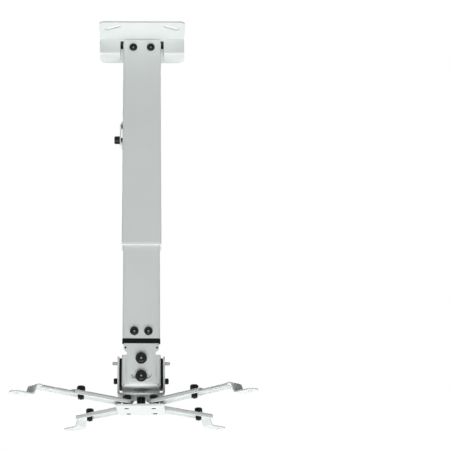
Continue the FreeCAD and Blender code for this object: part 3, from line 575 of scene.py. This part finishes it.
def screw(node, axis, shape, head, tall, socket, shank, pitch, nut=None, under=None):
    """Whole screw: head, threaded shank, and the nut or washer that its node carries."""
    low, high = reach(node, axis)
    length = (high - low) / MM - tall
    bm = bmesh.new()
    shape(bm, head, tall, socket)
    stem = bmesh.new()
    threaded_shank(stem, shank, length * PLAIN_SHARE, length, pitch)
    join(bm, stem)
    if nut:
        across, nut_tall = nut
        hex_nut(bm, across, nut_tall, NUT_BEYOND - length)
    if under:
        across, thick = under
        washer(bm, across, shank, thick)
    if shape is button_head:
        socket_mark(node, axis, tall)
    set_along(bm, node, axis, tall)


M6_BUTTON = {
    "shape": button_head, "head": 10.5, "tall": 3.3, "socket": 4.0, "shank": 6.0, "pitch": 1.0,
    "nut": (10.0, 5.0),
}
M8_BUTTON = {
    "shape": button_head, "head": 14.0, "tall": 5.0, "socket": 5.0, "shank": 8.0, "pitch": 1.25,
    "nut": (13.0, 5.0),
}
M4_CAP = {
    "shape": cap_head, "head": 7.0, "tall": 4.6, "socket": 3.0, "shank": 4.0, "pitch": 0.7,
    "nut": (7.0, 3.2),
}
M6_CAP = {
    "shape": cap_head, "head": 10.0, "tall": 7.2, "socket": 5.0, "shank": 6.0, "pitch": 1.0,
}
ARM_WASHER = (12.0, 0.8)
ARM_CAP = {
    "shape": cap_head, "head": 9.6, "tall": 5.9, "socket": 4.0, "shank": 4.0, "pitch": 0.7,
    "under": ARM_WASHER,
}
ARM_NUT = 7.0
ARM_NUT_BORE = 4.0

for side in ("left", "right"):
    screw("top_bolt_" + side, FRONT, **M6_BUTTON)
    screw("tongue_bolt_" + side, FRONT, **M6_BUTTON)
for name in ("pivot", "clamp"):
    screw("roll_" + name + "_bolt", FRONT, **M8_BUTTON)
for side, out in (("left", LEFT), ("right", RIGHT)):
    screw("tilt_screw_" + side, out, **M4_CAP)
screw("lock_screw", LEFT, **M6_CAP)


def arm_nut(node):
    low, high = reach(node, UP)
    tall = (high - low) / MM
    bm = bmesh.new()
    hex_nut(bm, ARM_NUT, tall, 0, ARM_NUT_BORE)
    set_along(bm, node, UP, tall)


# Pivot screw of an arm: head and washer above it, a shoulder between the arm
# and the hub, and an end riveted over under the hub

PIVOT_HEAD = 9.6
PIVOT_HEAD_TALL = 4.9
PIVOT_SOCKET = 4.0
PIVOT_STEM = 3.0
PIVOT_SHOULDER = 5.0
SHOULDER_TOP = -2.7
SHOULDER_END = -7.5
SHOULDER_CORNER = 0.2
HUB_UNDERSIDE = -10.0
RIM_RADIUS = 4.0
RIM_BORE = 2.95
RIM_TALL = 1.2
RIM_STEPS = 5
RIM_STEP_ANGLE = 10.5


def pivot_stem(bm):
    corner = PIVOT_SHOULDER - SHOULDER_CORNER
    turned(bm, [
        (0, SHANK_SUNK), (PIVOT_STEM, SHANK_SUNK), (PIVOT_STEM, SHOULDER_TOP),
        (corner, SHOULDER_TOP), (PIVOT_SHOULDER, SHOULDER_TOP - SHOULDER_CORNER),
        (PIVOT_SHOULDER, SHOULDER_END + SHOULDER_CORNER), (corner, SHOULDER_END),
        (PIVOT_STEM, SHOULDER_END), (PIVOT_STEM, HUB_UNDERSIDE), (2.9, HUB_UNDERSIDE),
        (2.9, -10.8), (2.5, -11.2), (1.4, -11.42), (0, -11.45),
    ])


def rivet_rim(node):
    """Coated rim around the riveted end."""
    profile = [(RIM_BORE, HUB_UNDERSIDE)]
    for step in range(RIM_STEPS):
        angle = math.radians(RIM_STEP_ANGLE * step)
        profile.append((RIM_RADIUS * math.cos(angle), HUB_UNDERSIDE - RIM_TALL * math.sin(angle)))
    bm = bmesh.new()
    turned(bm, profile + [(RIM_BORE, -10.85), (RIM_BORE, HUB_UNDERSIDE)])
    set_along(bm, node, UP, PIVOT_HEAD_TALL, "_rim", "silver_paint")


def pivot_screw(node):
    bm = bmesh.new()
    cap_head(bm, PIVOT_HEAD, PIVOT_HEAD_TALL, PIVOT_SOCKET)
    across, thick = ARM_WASHER
    washer(bm, across, 2 * PIVOT_STEM, thick)
    stem = bmesh.new()
    pivot_stem(stem)
    join(bm, stem)
    set_along(bm, node, UP, PIVOT_HEAD_TALL)
    rivet_rim(node)


for spot in SPOTS:
    screw("arm_screw_" + spot, UP, **ARM_CAP)
    arm_nut("arm_nut_" + spot)
    pivot_screw("arm_rivet_" + spot)


# Sheet and moulded pieces, with painted shade on the inside of the ceiling channel

CHANNEL_SHEET = 2.0
INSIDE_MARGIN = 0.3
# Near-black painted shade for the inside faces of the ceiling channel
INSIDE_PAINTED_SHADE = (0.012, 0.013, 0.013)
FASTENER_WORDS = ("bolt", "screw", "arm_nut", "arm_rivet")

wall = (CHANNEL_SHEET - INSIDE_MARGIN) * MM
channel_reach = [reach("ceiling_channel", axis) for axis in (RIGHT, REAR, UP)]
inside_low = Vector([low + wall for low, high in channel_reach])
inside_high = Vector([high - wall for low, high in channel_reach])
inside_high.z = channel_reach[2][1] + INSIDE_MARGIN * MM
# The channel's coat, with painted shade on its inside faces
channel_coat_with_painted_shade = painted_shade_inside(
    silver_coat("silver_coat_painted_shade_inside"), inside_low, inside_high, INSIDE_PAINTED_SHADE,
)
finish_of_node = {"ceiling_plate": channel_coat_with_painted_shade, "ceiling_channel": channel_coat_with_painted_shade}

for node in frame["nodes"]:
    if not any(word in node for word in FASTENER_WORDS):
        dress(node, finish_of_node.get(node))


# Small black pins pressed through the shoulders of the tongue

SHOULDER_PIN_X = 19.0
SHOULDER_PIN_DROP = 5.2
PIN_PROFILE = [
    (0, -2.3), (0.85, -2.3), (0.85, 0.02), (1.2, 0.02), (1.15, 0.3), (0.8, 0.5), (0, 0.55),
]


def shoulder_pin(name, across):
    face = reach("head_tongue", FRONT)[1]
    height = reach("end_cap", UP)[0] - SHOULDER_PIN_DROP * MM
    bm = bmesh.new()
    turned(bm, PIN_PROFILE, PIN_STEPS)
    stand(bm, (across * MM, -face, height), FRONT)
    make_piece(name, bm, body_of_node["head_tongue"], "black_steel")


shoulder_pin("shoulder_pin_left", -SHOULDER_PIN_X)
shoulder_pin("shoulder_pin_right", SHOULDER_PIN_X)


# Plain pale floor far below, white surround and soft studio light

FLOOR_Z = -5.0
FLOOR_HALF = 6.0
FLOOR_TONE = 0.86
FLOOR_ROUGH = 0.8
FLOOR_SEEN_TONE = 0.97
FLOOR_SEEN_SHARE = 0.85
SURROUND_LIGHT = 0.12
SURROUND_WHITE = 1.0
LAMP_AIM = Vector((0, 0, -0.3))


def seen_directly(tree):
    """One for rays from the camera and for mirrored or refracted ones, nought for the rest."""
    path = add_node(tree, "ShaderNodeLightPath")
    kinds = ("Is Camera Ray", "Is Glossy Ray", "Is Transmission Ray")
    return largest(tree, [path.outputs[kind] for kind in kinds])


def mix_shaders(tree, share, first, second, target):
    mix = add_node(tree, "ShaderNodeMixShader")
    tree.links.new(share, mix.inputs["Fac"])
    tree.links.new(first, mix.inputs[1])
    tree.links.new(second, mix.inputs[2])
    tree.links.new(mix.outputs["Shader"], target)


def floor_material():
    """Pale floor that keeps part of its shade where it is looked at."""
    made, tree, shader = new_material("pale_floor", 0.0, 0.3)
    shader.inputs["Base Color"].default_value = (FLOOR_TONE, FLOOR_TONE, FLOOR_TONE, 1)
    shader.inputs["Roughness"].default_value = FLOOR_ROUGH
    pale = add_node(tree, "ShaderNodeEmission")
    pale.inputs["Color"].default_value = (FLOOR_SEEN_TONE, FLOOR_SEEN_TONE, FLOOR_SEEN_TONE, 1)
    mix_shaders(
        tree, remap(tree, seen_directly(tree), 0, 1, 0, FLOOR_SEEN_SHARE),
        shader.outputs["BSDF"], pale.outputs["Emission"],
        tree.nodes["Material Output"].inputs["Surface"],
    )
    return made


def build_floor():
    bm = bmesh.new()
    bmesh.ops.create_grid(bm, x_segments=1, y_segments=1, size=FLOOR_HALF)
    bmesh.ops.translate(bm, verts=bm.verts, vec=(0, 0, FLOOR_Z))
    mesh = bpy.data.meshes.new("studio_floor")
    bm.to_mesh(mesh)
    bm.free()
    floor = bpy.data.objects.new("studio_floor", mesh)
    mesh.materials.append(floor_material())
    bpy.context.scene.collection.objects.link(floor)


def surround(tree, strength):
    made = add_node(tree, "ShaderNodeBackground")
    made.inputs["Color"].default_value = (1, 1, 1, 1)
    made.inputs["Strength"].default_value = strength
    return made.outputs["Background"]


def build_world():
    """White to the camera and in reflections, an even soft grey as light."""
    world = bpy.data.worlds.new("studio_surround")
    bpy.context.scene.world = world
    world.use_nodes = True
    tree = world.node_tree
    tree.nodes.clear()
    out = add_node(tree, "ShaderNodeOutputWorld")
    mix_shaders(
        tree, seen_directly(tree), surround(tree, SURROUND_LIGHT), surround(tree, SURROUND_WHITE),
        out.inputs["Surface"],
    )


def soft_box(name, place, size, power):
    lamp = bpy.data.lights.new(name, "AREA")
    lamp.shape = "RECTANGLE"
    lamp.size = size
    lamp.size_y = size
    lamp.energy = power
    holder = bpy.data.objects.new(name, lamp)
    holder.location = place
    holder.rotation_euler = (LAMP_AIM - Vector(place)).to_track_quat("-Z", "Y").to_euler()
    holder.visible_camera = False
    bpy.context.scene.collection.objects.link(holder)


build_floor()
build_world()
soft_box("under_softbox", (0, -2.75, -4.1), size=5.0, power=345)
for name, side in (("left", -1), ("right", 1)):
    soft_box("low_" + name + "_softbox", (3.4 * side, 1.3, -2.8), size=2.4, power=48)
    soft_box("high_" + name + "_softbox", (2.0 * side, 4.2, 2.6), size=2.6, power=105)


# Camera of the photograph: low in front, looking up, the mount left of the middle

PICTURE = 450
FOCAL_PIXELS = 1200
CENTRE_PIXEL = 141.6
SENSOR = 36.0
CAMERA_PLACE = (0, -1.427, -0.780)
CAMERA_PITCH = 20.0
CAMERA_ROLL = 0.15

camera_data = bpy.data.cameras.new("photo_camera")
camera_data.sensor_width = SENSOR
camera_data.lens = SENSOR * FOCAL_PIXELS / PICTURE
camera_data.shift_x = (PICTURE / 2 - CENTRE_PIXEL) / PICTURE
camera_data.clip_start = 0.01
camera_data.clip_end = 50.0
camera = bpy.data.objects.new("photo_camera", camera_data)
pitch = Matrix.Rotation(math.radians(90 + CAMERA_PITCH), 4, "X")
roll = Matrix.Rotation(math.radians(CAMERA_ROLL), 4, "Z")
camera.matrix_world = Matrix.Translation(CAMERA_PLACE) @ pitch @ roll
bpy.context.scene.collection.objects.link(camera)
bpy.context.scene.camera = camera
bpy.context.scene.view_settings.view_transform = "Standard"
